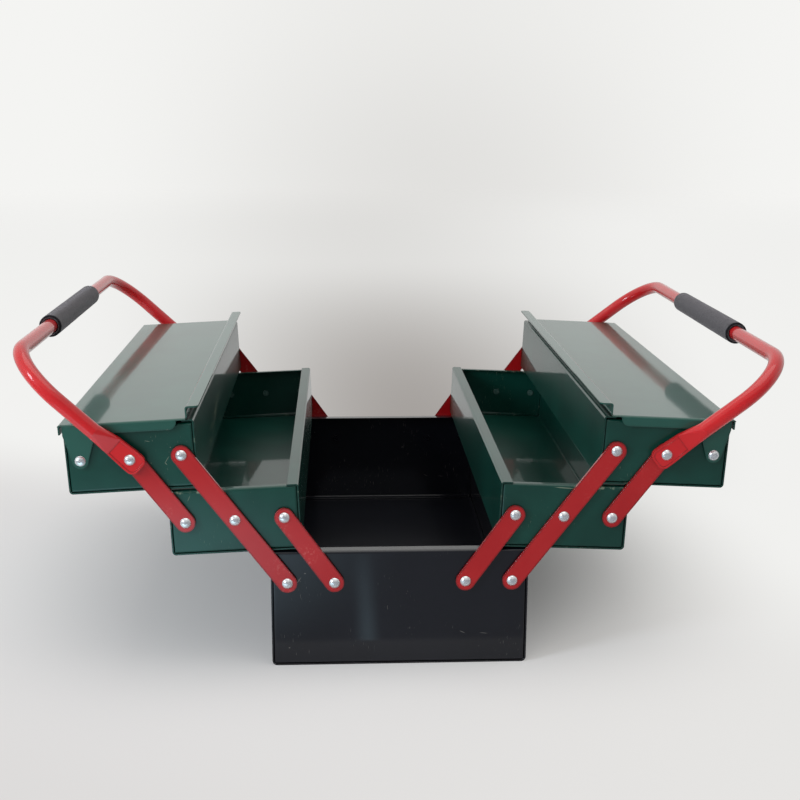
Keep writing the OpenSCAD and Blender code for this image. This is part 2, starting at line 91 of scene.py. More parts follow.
def add(tree, kind, inputs=None, **settings):
    """Adds a node with its settings. An input is a value, an output socket or a node,
    whose first output in use is taken."""
    made = tree.nodes.new(kind)
    for name, value in settings.items():
        setattr(made, name, value)
    for key, value in (inputs or {}).items():
        to = socket(made.inputs, key)
        if isinstance(value, bpy.types.Node):
            value = next(s for s in value.outputs if s.enabled)
        if isinstance(value, bpy.types.NodeSocket):
            tree.links.new(value, to)
        else:
            to.default_value = value
    return made


def linear(code):
    """The linear colour of an sRGB hex value."""
    values = [int(code[i : i + 2], 16) / 255 for i in (1, 3, 5)]
    return [v / 12.92 if v <= 0.04045 else ((v + 0.055) / 1.055) ** 2.4 for v in values] + [1]


def new_material(name):
    """An empty material and its tree."""
    material = bpy.data.materials.new(name)
    material.use_nodes = True
    material.node_tree.nodes.clear()
    return material, material.node_tree


def grain(tree, place, size, detail=2.0, **more):
    """Noise whose lumps are about the given size across, in metres."""
    return add(
        tree, "ShaderNodeTexNoise", {"Vector": place, "Scale": 1 / size, "Detail": detail, **more}
    ).outputs["Fac"]


def between(tree, value, low, high, to_low=0.0, to_high=1.0):
    """The value, smoothly carried from one range to another and kept inside it."""
    return add(
        tree, "ShaderNodeMapRange",
        {"Value": value, "From Min": low, "From Max": high, "To Min": to_low, "To Max": to_high},
        interpolation_type="SMOOTHSTEP",
    ).outputs["Result"]


def maths(tree, operation, *values):
    return add(tree, "ShaderNodeMath", dict(enumerate(values)), operation=operation).outputs[0]


def times(tree, a, b):
    return maths(tree, "MULTIPLY", a, b)


def larger(tree, a, b):
    return maths(tree, "MAXIMUM", a, b)


def parts(tree, vector):
    """The X, Y and Z of a vector."""
    return add(tree, "ShaderNodeSeparateXYZ", {0: vector}).outputs


def within(tree, value, low, high, soft):
    """1 where a value lies between two others, with soft borders."""
    above = between(tree, value, low - soft, low + soft)
    return times(tree, above, between(tree, value, high - soft, high + soft, 1.0, 0.0))


def blended(tree, share, a, b):
    """Colour a turning into colour b."""
    return add(
        tree, "ShaderNodeMix", {"Factor": share, "A": a, "B": b}, data_type="RGBA"
    ).outputs["Result"]


# ---- Materials ----

PEEL_SIZE = 2.2 * MM       # orange peel of sprayed and stoved enamel
PANEL_WAVE_SIZE = 70 * MM  # slow waves of thin rolled sheet
PANEL_WAVE = 0.06 * MM     # how high they stand
CLOUD_SIZE = 60 * MM       # slow changes of the paint's tone
EDGE_ROUND = 0.5 * MM      # paint rounds every sheared edge
EDGE_REACH = 2.4 * MM      # how far the painted edge shade and the rubbed paint spread from an edge
EDGE_SHADE_FLATNESS = (0.995, 0.9)   # flatness at which the painted edge shade begins, and is darkest
EDGE_RUBBED = (0.93, 0.75) # flatness at which it begins to be rubbed, and is rubbed most
EDGE_SHADE_COLOUR = "#0b0708"      # the colour of that painted shade
RUB_SIZE = 9 * MM          # size of the patches in which the edges are rubbed
RUBBED_ROUGHER = 0.3       # what rubbing adds to the paint's roughness
VEIL = 0.4                 # roughness of the paint body under its skin
SHADE_GAP_REACH = 1.6 * MM            # how far out of a narrow gap its painted shade shows
SHADE_GAP_OPEN = (0.85, 0.4)    # openness at which that painted shade begins, and is darkest
SHADE_GAP_SHARE = 0.8            # how much of the colour that painted shade takes there
BEVEL_SAMPLES = 4
OPENNESS_SAMPLES = 6
END_WALL = 0.2138          # metres from the middle to the inner face of an end wall


def edge_flatness(tree):
    """1 on a flat face, and less the nearer a point is to a sharp edge."""
    bent = add(tree, "ShaderNodeBevel", {"Radius": EDGE_REACH}, samples=BEVEL_SAMPLES)
    flat = add(tree, "ShaderNodeNewGeometry").outputs["Normal"]
    agree = add(tree, "ShaderNodeVectorMath", {0: bent, 1: flat}, operation="DOT_PRODUCT")
    return agree.outputs["Value"]


def rubbed_edges(tree, spot, flatness, amount):
    """Paint rubbed thin along the edges, in broken patches. A larger amount widens them."""
    patches = grain(tree, spot["Object"], RUB_SIZE, 5.0, Roughness=0.65)
    edge = between(tree, flatness, *EDGE_RUBBED)
    return times(tree, edge, between(tree, patches, 0.62 - amount, 0.74))


def painted_edge_and_seam_shade(tree, flatness, rim):
    """Painted shade, where the paint is darkened: along sheared edges, and round each rivet and
    in the gaps between sheets, the more enclosed a point is."""
    edge = times(tree, between(tree, flatness, *EDGE_SHADE_FLATNESS), rim)
    open_share = add(
        tree, "ShaderNodeAmbientOcclusion", {"Distance": SHADE_GAP_REACH}, samples=OPENNESS_SAMPLES
    )
    gap_shade = between(tree, open_share.outputs["AO"], *SHADE_GAP_OPEN, 0.0, SHADE_GAP_SHARE)
    return larger(tree, edge, gap_shade)


CHIP_SPACING = 26 * MM
CHIPPED = (0.7, 0.75)       # each cell has a random number, and only the highest are chipped
CHIP_RADIUS = (0.012, 0.02) # shares of the spacing: bare inside the first, whole past the second


def chips(tree, spot):
    """A few bare specks under a millimetre wide, where something hard has hit the paint."""
    cells = add(
        tree, "ShaderNodeTexVoronoi", {"Vector": spot["Object"], "Scale": 1 / CHIP_SPACING}
    )
    picked = between(tree, parts(tree, cells.outputs["Color"])[0], *CHIPPED)
    specks = between(tree, cells.outputs["Distance"], *CHIP_RADIUS, 1.0, 0.0)
    return times(tree, picked, specks)


SCRATCHES = ((28, 8 * MM), (-55, 5 * MM))  # degrees from upright, and length
SCRATCH_WIDTH = 0.4 * MM
SCRATCHED = (0.73, 0.77)    # only the highest peaks of the noise scratch the paint
SCRATCH_FIELD = 34 * MM     # size of the areas that hold the scratches
SCRATCH_DEPTH = 0.7
SQUARE_ON = (0.8, 0.95)     # how nearly a face has to look along an axis to take its marks


def scratches(tree, spot):
    """Thin short scratches in the end walls, where the arms and lids swing past."""
    found = []
    for turn, length in SCRATCHES:
        along = add(
            tree, "ShaderNodeMapping",
            {"Vector": spot["Object"], "Rotation": (0, math.radians(turn), 0),
             "Scale": (1 / SCRATCH_WIDTH, 1 / length, 1 / length)},
        )
        fine = add(tree, "ShaderNodeTexNoise", {"Vector": along, "Scale": 1.0, "Detail": 1.0})
        found.append(between(tree, fine.outputs["Fac"], *SCRATCHED))
    ends = between(tree, maths(tree, "ABSOLUTE", parts(tree, spot["Normal"])[1]), *SQUARE_ON)
    here = between(tree, grain(tree, spot["Object"], SCRATCH_FIELD), 0.52, 0.62)
    return times(tree, times(tree, larger(tree, *found), here), times(tree, ends, SCRATCH_DEPTH))


RIM_MIDDLE = 150.8 * MM  # height of the middle trays' rims, carried on to the box's middle
RIM_FALL = 0.0437        # how much they fall for each unit outwards
RIM_RUB_BAND = (0.2 * MM, 2.2 * MM)  # how far below a rim the top tray rubs
RIM_RUB_STRETCH = (0.135, 0.172)     # metres outwards
RIM_RUB_DEPTH = 0.75


def rim_rubs(tree, spot):
    """Pale rubs under the rims of the middle trays, where the top trays land."""
    across, _, up = parts(tree, spot["Object"])
    outwards = maths(tree, "ABSOLUTE", across)
    rim = maths(tree, "MULTIPLY_ADD", outwards, -RIM_FALL, RIM_MIDDLE)
    band = within(tree, maths(tree, "SUBTRACT", rim, up), *RIM_RUB_BAND, 0.5 * MM)
    ragged = between(tree, grain(tree, spot["Object"], 3.5 * MM, 4.0), 0.5, 0.66)
    stretch = within(tree, outwards, *RIM_RUB_STRETCH, 0.004)
    return times(tree, times(tree, band, ragged), times(tree, stretch, RIM_RUB_DEPTH))


# The rub on the left top tray's inner wall, in metres
WALL_RUB_LENGTH = (-0.125, -0.015)  # along the box
WALL_RUB_HEIGHT = (0.182, 0.195)    # at the middle of the box's length
WALL_RUB_WALL = (-0.16, -0.145)     # across, on both sides of that wall
WALL_RUB_RISE = 0.267               # how much it rises for each unit along the box
WALL_RUB_DEPTH = 0.55
STREAK_LEAN = -15                   # degrees
STREAK_SIZE = (9 * MM, 30 * MM, 3 * MM)


def wall_rubs(tree, spot):
    """A ragged slanting rub on the left top tray's inner wall."""
    across, along, up = parts(tree, spot["Object"])
    level = maths(tree, "MULTIPLY_ADD", along, -WALL_RUB_RISE, up)
    slanted = add(
        tree, "ShaderNodeMapping",
        {"Vector": spot["Object"], "Rotation": (math.radians(STREAK_LEAN), 0, 0),
         "Scale": [1 / size for size in STREAK_SIZE]},
    )
    streaks = add(tree, "ShaderNodeTexNoise", {"Vector": slanted, "Scale": 1.0, "Detail": 2.0})
    wall = between(tree, parts(tree, spot["Normal"])[0], *SQUARE_ON)
    there = times(
        tree,
        times(
            tree, within(tree, along, *WALL_RUB_LENGTH, 0.02),
            within(tree, level, *WALL_RUB_HEIGHT, 0.004),
        ),
        within(tree, across, *WALL_RUB_WALL, 0.002),
    )
    thin = between(tree, streaks.outputs["Fac"], 0.46, 0.62, 0.0, WALL_RUB_DEPTH)
    return times(tree, times(tree, thin, wall), there)


# Nicks in the front of the box and of the left trays: both ends (across, up) and the width,
# in millimetres
BOX_NICKS = (
    (-77.1, 72.4, -80.2, 68.0, 0.7), (-79.0, 71.5, -77.2, 69.6, 0.4),
    (-73.9, 76.2, -73.3, 76.2, 0.7), (-86.7, 14.6, -86.3, 14.6, 0.7),
    (47.4, 26.6, 51.0, 25.0, 0.35), (63.5, 24.9, 68.5, 24.3, 0.35),
)
TRAY_NICKS = (
    (-174.6, 171.0, -177.5, 166.2, 0.35), (-177.5, 166.4, -176.2, 164.8, 0.45),
    (-173.3, 178.3, -172.9, 178.3, 0.5), (-188.1, 166.1, -187.7, 166.1, 0.5),
    (-159.8, 139.9, -161.6, 136.0, 0.35), (-191.8, 183.5, -188.6, 182.9, 0.35),
    (-174.0, 143.9, -160.5, 142.9, 0.8), (120.0, 143.7, 134.0, 142.6, 0.7),
)
NICK_EDGE = (1.4, 0.6)  # in half sizes: whole paint outside the first, bare inside the second
NICK_DEPTH = 0.6


def nicks(strokes):
    """The mark of short strokes through the paint on the front faces."""

    def mark(tree, spot):
        found = 0.0
        for x0, z0, x1, z1, width in strokes:
            length = math.hypot(x1 - x0, z1 - z0) + width
            along = add(
                tree, "ShaderNodeMapping",
                {"Vector": spot["Object"],
                 "Location": ((x0 + x1) / 2 * MM, 0, (z0 + z1) / 2 * MM),
                 "Rotation": (0, -math.atan2(z1 - z0, x1 - x0), 0),
                 "Scale": (length / 2 * MM, 1.0, width / 2 * MM)},
                vector_type="TEXTURE",
            )
            off = add(tree, "ShaderNodeVectorMath", {0: along}, operation="LENGTH")
            found = larger(tree, found, between(tree, off.outputs["Value"], *NICK_EDGE))
        facing = maths(tree, "MULTIPLY", parts(tree, spot["Normal"])[1], -1.0)
        return times(tree, found, times(tree, between(tree, facing, *SQUARE_ON), NICK_DEPTH))

    return mark


SMEAR_SIZE = 30 * MM
SMEAR_GRAIN = 2.5 * MM
SMEARED = (0.06, 0.24)  # share of the paint's colour that smears take, right and left


def smears(tree, spot):
    """Dull pale smears from rubbing on the flat of the arms, most of them on the left."""
    broad = between(tree, grain(tree, spot["Object"], SMEAR_SIZE), 0.52, 0.68)
    fine = between(
        tree, grain(tree, spot["Object"], SMEAR_GRAIN, 4.0, Roughness=0.6), 0.5, 0.7
    )
    share = between(tree, parts(tree, spot["Object"])[0], 0.02, -0.02, *SMEARED)
    return times(tree, times(tree, broad, fine), share)


def enamel_skin(tree, spot, peel):
    """The sheet's slow waves bend long reflections, and the peel breaks up their edges."""
    rounded = add(tree, "ShaderNodeBevel", {"Radius": EDGE_ROUND}, samples=BEVEL_SAMPLES)
    waves = add(
        tree, "ShaderNodeBump",
        {"Height": grain(tree, spot["Object"], PANEL_WAVE_SIZE, 1.0), "Strength": 1.0,
         "Distance": PANEL_WAVE, "Normal": rounded},
    )
    return add(
        tree, "ShaderNodeBump",
        {"Height": grain(tree, spot["Object"], PEEL_SIZE, 1.0), "Strength": 1.0,
         "Distance": peel, "Normal": waves},
    )


def enamel(name, paint, rubbed, gloss, peel, edges, marks, skin_share=1.0, rim=0.3):
    """Stoved enamel on folded steel sheet: a hard skin that mirrors the room, over the paint
    body. Its sheared edges, the rings round rivets and the gaps between sheets are darkened
    with painted shade.

    The paint is two tones that run into each other, gloss is the skin's roughness, peel the
    height of its orange peel, edges the amount of rubbing there, rim the painted edge shade."""
    material, tree = new_material(name)
    spot = add(tree, "ShaderNodeTexCoord").outputs
    skin = enamel_skin(tree, spot, peel)
    flatness = edge_flatness(tree)
    worn = rubbed_edges(tree, spot, flatness, edges)
    for mark in marks:
        worn = larger(tree, worn, mark(tree, spot))
    clouds = between(tree, grain(tree, spot["Object"], CLOUD_SIZE, 3.0), 0.35, 0.65)
    body = blended(tree, clouds, linear(paint[0]), linear(paint[1]))
    # Painted shade: the body darkened along edges, round rivets and in gaps
    shaded_body = blended(tree, painted_edge_and_seam_shade(tree, flatness, rim), body, linear(EDGE_SHADE_COLOUR))
    shader = add(
        tree, "ShaderNodeBsdfPrincipled",
        {"Base Color": blended(tree, worn, shaded_body, linear(rubbed)),
         "Roughness": maths(tree, "MULTIPLY_ADD", worn, RUBBED_ROUGHER, VEIL),
         "IOR": 1.5, "Specular IOR Level": 0.2,
         "Coat Weight": skin_share, "Coat Roughness": gloss, "Coat IOR": 1.42,
         "Normal": skin, "Coat Normal": skin},
    )
    add(tree, "ShaderNodeOutputMaterial", {"Surface": shader.outputs["BSDF"]})
    return material


ZINC_PALE = "#f4f6f7"
ZINC_GREY = "#cfd3d6"
ZINC_SPANGLE = 1.1 * MM        # size of the mottling
ZINC_ROUGHNESS = (0.2, 0.32)
ZINC_UNEVEN = 0.03 * MM
ZINC_METAL = 0.78              # share of bare metal, and the rest is its film


def zinc_plate(name, tail_paint):
    """Bright zinc plate on cold-headed steel: a pale metal with soft reflections, faintly
    mottled, whose passivated film scatters some light. The tails inside the walls were
    sprayed with the tray or box."""
    material, tree = new_material(name)
    spot = add(tree, "ShaderNodeTexCoord").outputs
    sprayed = between(
        tree, maths(tree, "ABSOLUTE", parts(tree, spot["Object"])[1]), END_WALL - 0.05 * MM,
        END_WALL, 1.0, 0.0,
    )
    mottle = blended(
        tree, grain(tree, spot["Object"], ZINC_SPANGLE, 3.0), linear(ZINC_PALE),
        linear(ZINC_GREY),
    )
    rough = between(tree, grain(tree, spot["Object"], 2.5 * MM), 0.3, 0.7, *ZINC_ROUGHNESS)
    bump = add(
        tree, "ShaderNodeBump",
        {"Height": grain(tree, spot["Object"], 0.7 * MM), "Strength": 1.0,
         "Distance": ZINC_UNEVEN},
    )
    shader = add(
        tree, "ShaderNodeBsdfPrincipled",
        {"Base Color": blended(tree, sprayed, mottle, linear(tail_paint)),
         "Metallic": between(tree, sprayed, 0.0, 1.0, ZINC_METAL, 0.0), "Roughness": rough,
         "Normal": bump},
    )
    add(tree, "ShaderNodeOutputMaterial", {"Surface": shader.outputs["BSDF"]})
    return material


PORE = 0.9 * MM        # open pores of the ground skin
RING = 1.6 * MM        # rings left by grinding
FOAM_ROUGH = 0.18 * MM # how deep both are
CELL = 0.6 * MM        # cells that the cut opens
CELL_DEPTH = 0.2 * MM
FOAM_IOR = 1.45


def foam_skin():
    """Closed-cell foam rubber, extruded and ground: matt dark grey, with fine open pores, a
    pale bloom at grazing angles and faint rings from grinding."""
    material, tree = new_material("ground_foam_rubber")
    place = add(tree, "ShaderNodeTexCoord").outputs["Object"]
    pores = add(
        tree, "ShaderNodeTexVoronoi", {"Vector": place, "Scale": 1 / PORE}, feature="SMOOTH_F1"
    ).outputs["Distance"]
    rings = add(
        tree, "ShaderNodeMapping",
        {"Vector": place, "Scale": (1 / (40 * MM), 1 / RING, 1 / (40 * MM))},
    )
    ground = add(tree, "ShaderNodeTexNoise", {"Vector": rings, "Scale": 1.0, "Detail": 3.0})
    lumps = grain(tree, place, 5 * MM, 3.0)
    height = maths(tree, "MULTIPLY_ADD", ground.outputs["Fac"], 0.8, pores)
    bump = add(
        tree, "ShaderNodeBump", {"Height": height, "Strength": 1.0, "Distance": FOAM_ROUGH}
    )
    dark = blended(tree, between(tree, pores, 0.1, 0.6), linear("#333335"), linear("#585659"))
    colour = blended(tree, between(tree, lumps, 0.3, 0.75, 0.0, 0.5), dark, linear("#605d60"))
    shader = add(
        tree, "ShaderNodeBsdfPrincipled",
        {"Base Color": colour, "Roughness": 0.92, "IOR": FOAM_IOR, "Specular IOR Level": 0.35,
         "Sheen Weight": 0.35, "Sheen Roughness": 0.45, "Sheen Tint": linear("#c8c4c8"),
         "Normal": bump},
    )
    add(tree, "ShaderNodeOutputMaterial", {"Surface": shader.outputs["BSDF"]})
    return material


def foam_cut():
    """The same foam where the sleeve is cut across: black, with the cells open."""
    material, tree = new_material("cut_foam_rubber")
    place = add(tree, "ShaderNodeTexCoord").outputs["Object"]
    cells = add(
        tree, "ShaderNodeTexVoronoi", {"Vector": place, "Scale": 1 / CELL}, feature="SMOOTH_F1"
    ).outputs["Distance"]
    bump = add(
        tree, "ShaderNodeBump", {"Height": cells, "Strength": 1.0, "Distance": CELL_DEPTH}
    )
    colour = blended(tree, between(tree, cells, 0.1, 0.6), linear("#0d0e10"), linear("#232427"))
    shader = add(
        tree, "ShaderNodeBsdfPrincipled",
        {"Base Color": colour, "Roughness": 0.95, "IOR": FOAM_IOR, "Specular IOR Level": 0.2,
         "Normal": bump},
    )
    add(tree, "ShaderNodeOutputMaterial", {"Surface": shader.outputs["BSDF"]})
    return material


BOX_BLACK = "#080a12"


def dress_nodes():
    """Gives every CAD node the finish of its record slot, and the rivets that of their
    wall."""
    finishes = {
        "box_enamel": enamel(
            "black_stoved_enamel", (BOX_BLACK, "#0c0e16"), "#7d7b76", 0.07, 0.006 * MM, 0.02,
            (chips, scratches, nicks(BOX_NICKS)),
        ),
        "tray_enamel": enamel(
            "green_stoved_enamel", ("#07382f", "#0b4137"), "#8f9a85", 0.05, 0.004 * MM, 0.05,
            (chips, scratches, rim_rubs, wall_rubs, nicks(TRAY_NICKS)), skin_share=0.6,
        ),
        # The lids take a paler copy of the trays' green: painted light, as lids and trays share
        # one paint
        "lid_enamel": enamel(
            "green_gloss_enamel", ("#1d4e44", "#22554a"), "#9aa591", 0.06, 0.003 * MM, 0.03,
            (chips,), skin_share=0.9,
        ),
        # The arms' rim share deepens their painted edge shade
        "arm_enamel": enamel(
            "red_stoved_enamel", ("#a50c12", "#ad1418"), "#d0867e", 0.12, 0.006 * MM, -0.06,
            (chips, smears), rim=0.7,
        ),
        "handle_enamel": enamel(
            "red_gloss_enamel", ("#c2151b", "#c91c21"), "#dd9c94", 0.05, 0.004 * MM, 0.0,
            (chips,),
        ),
        "zinc": zinc_plate("bright_zinc_plate_green_tails", "#45605a"),
        "foam": foam_skin(),
    }
    slots = {part["node"]: part["material_slot"] for part in frame["record"]["subparts"]}
    for name, node in frame["nodes"].items():
        node.data.materials.clear()
        node.data.materials.append(finishes[slots[name]])
    rivets = frame["nodes"]["box_rivets"].data.materials
    rivets[0] = zinc_plate("bright_zinc_plate_black_tails", BOX_BLACK)
    return finishes


# ---- Foam grips ----

GRIP_BORE = 12.6 * MM     # a little wider than the tube, as the foam stretches over it
GRIP_EDGE = 1.3 * MM      # rounded ends
GRIP_WANDER = 0.22 * MM   # how unevenly the foam is ground
GRIP_STEP = 2.0 * MM      # distance between points along the sleeve
GRIP_SIDES = 72
GRIP_LUMP = 14 * MM       # size of its unevenness
CUT_FACING = 0.75         # faces that look this much along the crossbar are the cut ends
WELD = 0.005 * MM         # points closer than this are one


def grip_tree(skin, cut):
    """Geometry Nodes tree of a foam sleeve: a long rounded section turned round the crossbar,
    uneven by a fraction of a millimetre, with cut ends of their own."""
    tree = bpy.data.node_groups.new("foam_sleeve", "GeometryNodeTree")
    sizes = (
        ("Length", 0.17), ("Outside", 0.019), ("Bore", GRIP_BORE), ("Edge", GRIP_EDGE),
        ("Wander", GRIP_WANDER), ("Step", GRIP_STEP),
    )
    for name, value in sizes:
        made = tree.interface.new_socket(name, in_out="INPUT", socket_type="NodeSocketFloat")
        made.default_value = value
    middle = tree.interface.new_socket("Middle", in_out="INPUT", socket_type="NodeSocketVector")
    middle.default_value = (0, 0, 0)
    seed = tree.interface.new_socket("Seed", in_out="INPUT", socket_type="NodeSocketFloat")
    seed.default_value = 3
    tree.interface.new_socket("Geometry", in_out="OUTPUT", socket_type="NodeSocketGeometry")
    size = add(tree, "NodeGroupInput").outputs

    wall = times(tree, maths(tree, "SUBTRACT", size["Outside"], size["Bore"]), 0.5)
    inner_wall = maths(tree, "SUBTRACT", wall, size["Wander"])
    turned = times(tree, maths(tree, "ADD", size["Bore"], inner_wall), 0.5)
    section = add(
        tree, "GeometryNodeCurvePrimitiveQuadrilateral",
        {"Width": inner_wall, "Height": size["Length"]}, mode="RECTANGLE",
    )
    soft = add(
        tree, "GeometryNodeFilletCurve",
        {"Curve": section, "Radius": size["Edge"], "Count": 5}, mode="POLY",
    )
    even = add(
        tree, "GeometryNodeResampleCurve", {"Curve": soft, "Length": size["Step"]},
        mode="LENGTH",
    )
    path = add(
        tree, "GeometryNodeCurvePrimitiveCircle", {"Resolution": GRIP_SIDES, "Radius": turned},
        mode="RADIUS",
    )
    sleeve = add(
        tree, "GeometryNodeCurveToMesh",
        {"Curve": path.outputs["Curve"], "Profile Curve": even},
    )
    # The circle lies flat, so the sleeve is stood along the crossbar before it wanders
    laid = add(
        tree, "GeometryNodeTransform",
        {"Geometry": sleeve, "Translation": size["Middle"], "Rotation": (math.pi / 2, 0, 0)},
    )
    noise = add(
        tree, "ShaderNodeTexNoise",
        {"Vector": add(tree, "GeometryNodeInputPosition"), "W": size["Seed"],
         "Scale": 1 / GRIP_LUMP, "Detail": 3.0},
        noise_dimensions="4D",
    )
    outwards = times(
        tree, maths(tree, "SUBTRACT", noise.outputs["Fac"], 0.5), size["Wander"]
    )
    shift = add(
        tree, "ShaderNodeVectorMath",
        {0: add(tree, "GeometryNodeInputNormal"), "Scale": outwards}, operation="SCALE",
    )
    uneven = add(tree, "GeometryNodeSetPosition", {"Geometry": laid, "Offset": shift})
    along = add(
        tree, "ShaderNodeSeparateXYZ", {0: add(tree, "GeometryNodeInputNormal")}
    ).outputs["Y"]
    ends = add(
        tree, "FunctionNodeCompare", {"A": maths(tree, "ABSOLUTE", along), "B": CUT_FACING},
        data_type="FLOAT", operation="GREATER_THAN",
    )
    whole = add(tree, "GeometryNodeRealizeInstances", {"Geometry": uneven})
    skinned = add(tree, "GeometryNodeSetMaterial", {"Geometry": whole, "Material": skin})
    finished = add(
        tree, "GeometryNodeSetMaterial",
        {"Geometry": skinned, "Selection": ends.outputs[0], "Material": cut},
    )
    add(tree, "NodeGroupOutput", {"Geometry": finished})
    return tree


def make_grip(side, tree, seed):
    """One foam sleeve in the place of its CAD node."""
    low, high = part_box(f"{side}_grip")
    values = {
        "Length": high.y - low.y, "Outside": high.z - low.z, "Middle": tuple((low + high) / 2),
        "Seed": seed,
    }
    maker = bpy.data.objects.new(f"{side}_foam_maker", bpy.data.meshes.new("maker"))
    bpy.context.scene.collection.objects.link(maker)
    modifier = maker.modifiers.new("sleeve", "NODES")
    modifier.node_group = tree
    for item in tree.interface.items_tree:
        if item.in_out == "INPUT" and item.name in values:
            modifier[item.identifier] = values[item.name]
    seen = maker.evaluated_get(bpy.context.evaluated_depsgraph_get())
    mesh = bpy.data.meshes.new_from_object(seen)
    bpy.data.objects.remove(maker)
    shell = bmesh.new()
    shell.from_mesh(mesh)
    bmesh.ops.remove_doubles(shell, verts=shell.verts, dist=WELD)
    bmesh.ops.recalc_face_normals(shell, faces=shell.faces)
    for face in shell.faces:
        face.smooth = True
    shell.to_mesh(mesh)
    shell.free()
    grip = bpy.data.objects.new(f"{side}_foam_grip", mesh)
    bpy.context.scene.collection.objects.link(grip)
    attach(grip, f"{side}_handle_body")
    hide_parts(f"{side}_grip")
    return grip


# ---- Floor, light and background ----

# Places and lengths are in metres, across to the right and along to the back
FLOOR_RADIUS = 6.0
FLOOR_GAP = 0.05 * MM      # between the floor and the box
FLOOR_FADE = (3.0, 5.6)    # distance from the box over which it turns into the background
FLOOR_PAINT = "#efeeec"
FLOOR_LEFT = "#dcdad9"     # what the camera sees of it in front of the box, left and right; the darker left one is painted shade
FLOOR_RIGHT = "#e8e7e5"
FLOOR_SIDES = (-0.35, 0.4) # across, where the left tone ends and the right one begins
BACKDROP = "#f4f4f2"       # the pale room behind
PALE_ALONG = (-0.1, 0.25)  # along, where the floor turns as pale as that
PALE_SLANT = 0.6           # by how much nearer that lies for each metre to the right
PALE_AWAY = (0.8, 2.2)     # distance from the box over which it turns so all round

# Cast shadows show near the middle of the object, and give way to the floor's own tone
SHADOW_MIDDLE = (-0.09, 0.05, 0)
GLOW_REACH = (0.2, 0.5)    # distance from there over which they give way
GLOW = (0.09, 0.93)        # share of the floor's own tone, near and far

# A painted soft shade on the floor and wall behind the open trays, where they would throw their
# shade
BACKDROP_SHADE = "#a19c98"
SHADE_MIDDLE = 0.06        # across
SHADE_HALF = 0.36          # half its width beside the box's middle
SHADE_SPREAD = 0.2         # what that gains for each metre along
SHADE_BEGINS = (0.1, 0.5)  # along, where it begins, and is full
SHADE_WEAKENS = (2.4, 0.5) # along, where it is weakest, and still full
SHADE_FAR = 0.27           # what is left of it there

# What only reflections show: the unlit room round the camera, and painted reflections of
# daylight, where the floor glows in reflections though no lamp is there
DARK_ROOM = "#93969d"
ROOM_DIM = 0.12            # by how much the whole room is darker in reflections
FRONT_EDGE = -0.258        # along, where the dark begins on the floor
DUSK_ALONG = (-0.16, -0.21) # along, where a first share of it begins, and is full
DUSK = 0.35                # that share
WINDOW_GLARE = "#bce2f2"
GLARE_MIDDLE = (-0.28, -0.46, 0)
GLARE_REACH = (0.3, 0.04)  # distance from there at which the glare begins, and is full
GLARE_STRENGTH = 2.2
GLARE_STRIP_ACROSS = (-0.03, -0.018)
GLARE_STRIP_ALONG = (-0.56, -0.27) # along, where the strip begins, and is full


def glossy_floor(tree, place, floor):
    """What shiny faces mirror of the floor, as painted reflections: it is dark in front of the
    box, apart from a window's glare painted on the left and a narrow strip of it near the
    middle, which glow though no lamp is there."""
    across, along, _ = parts(tree, place)
    dark = add(tree, "ShaderNodeEmission", {"Color": linear(DARK_ROOM), "Strength": 1.0})
    near = between(tree, along, *DUSK_ALONG, 0.0, DUSK)
    front = larger(tree, near, between(tree, along, FRONT_EDGE + 0.01, FRONT_EDGE - 0.01))
    dimmed = add(tree, "ShaderNodeMixShader", {0: front, 1: floor, 2: dark.outputs[0]})
    reach = add(
        tree, "ShaderNodeVectorMath", {0: place, 1: GLARE_MIDDLE}, operation="DISTANCE"
    )
    painted_glare_patch = between(tree, reach.outputs["Value"], *GLARE_REACH)
    strip = times(
        tree, within(tree, across, *GLARE_STRIP_ACROSS, 0.007),
        times(
            tree, between(tree, along, FRONT_EDGE, FRONT_EDGE - 0.004),
            between(tree, along, *GLARE_STRIP_ALONG),
        ),
    )
    # Painted reflection: the floor glows with a window's glare, seen only in reflections
    glare = add(
        tree, "ShaderNodeEmission",
        {"Color": linear(WINDOW_GLARE),
         "Strength": maths(tree, "MULTIPLY_ADD", painted_glare_patch, GLARE_STRENGTH, strip)},
    )
    return add(tree, "ShaderNodeAddShader", {0: dimmed.outputs[0], 1: glare.outputs[0]})


def floor_tone(tree, across, along, away):
    """The floor's own colour for the camera: darker in front of the box, and darker still on the
    left, as painted shade; paler behind the box and far from it, with the painted soft shade
    of the open trays, which widens away from the box."""
    near = blended(
        tree, between(tree, across, *FLOOR_SIDES), linear(FLOOR_LEFT), linear(FLOOR_RIGHT)
    )
    slanted = maths(tree, "MULTIPLY_ADD", across, PALE_SLANT, along)
    pale = larger(tree, between(tree, slanted, *PALE_ALONG), between(tree, away, *PALE_AWAY))
    far = blended(tree, pale, near, linear(BACKDROP))
    spread = maths(tree, "MULTIPLY_ADD", along, SHADE_SPREAD, SHADE_HALF)
    off = maths(tree, "ABSOLUTE", maths(tree, "SUBTRACT", across, SHADE_MIDDLE))
    side = maths(tree, "DIVIDE", off, spread)
    depth = times(
        tree, between(tree, along, *SHADE_BEGINS),
        between(tree, along, *SHADE_WEAKENS, SHADE_FAR, 1.0),
    )
    shade = times(tree, between(tree, side, 1.0, 0.0), depth)
    return blended(tree, shade, far, linear(BACKDROP_SHADE))


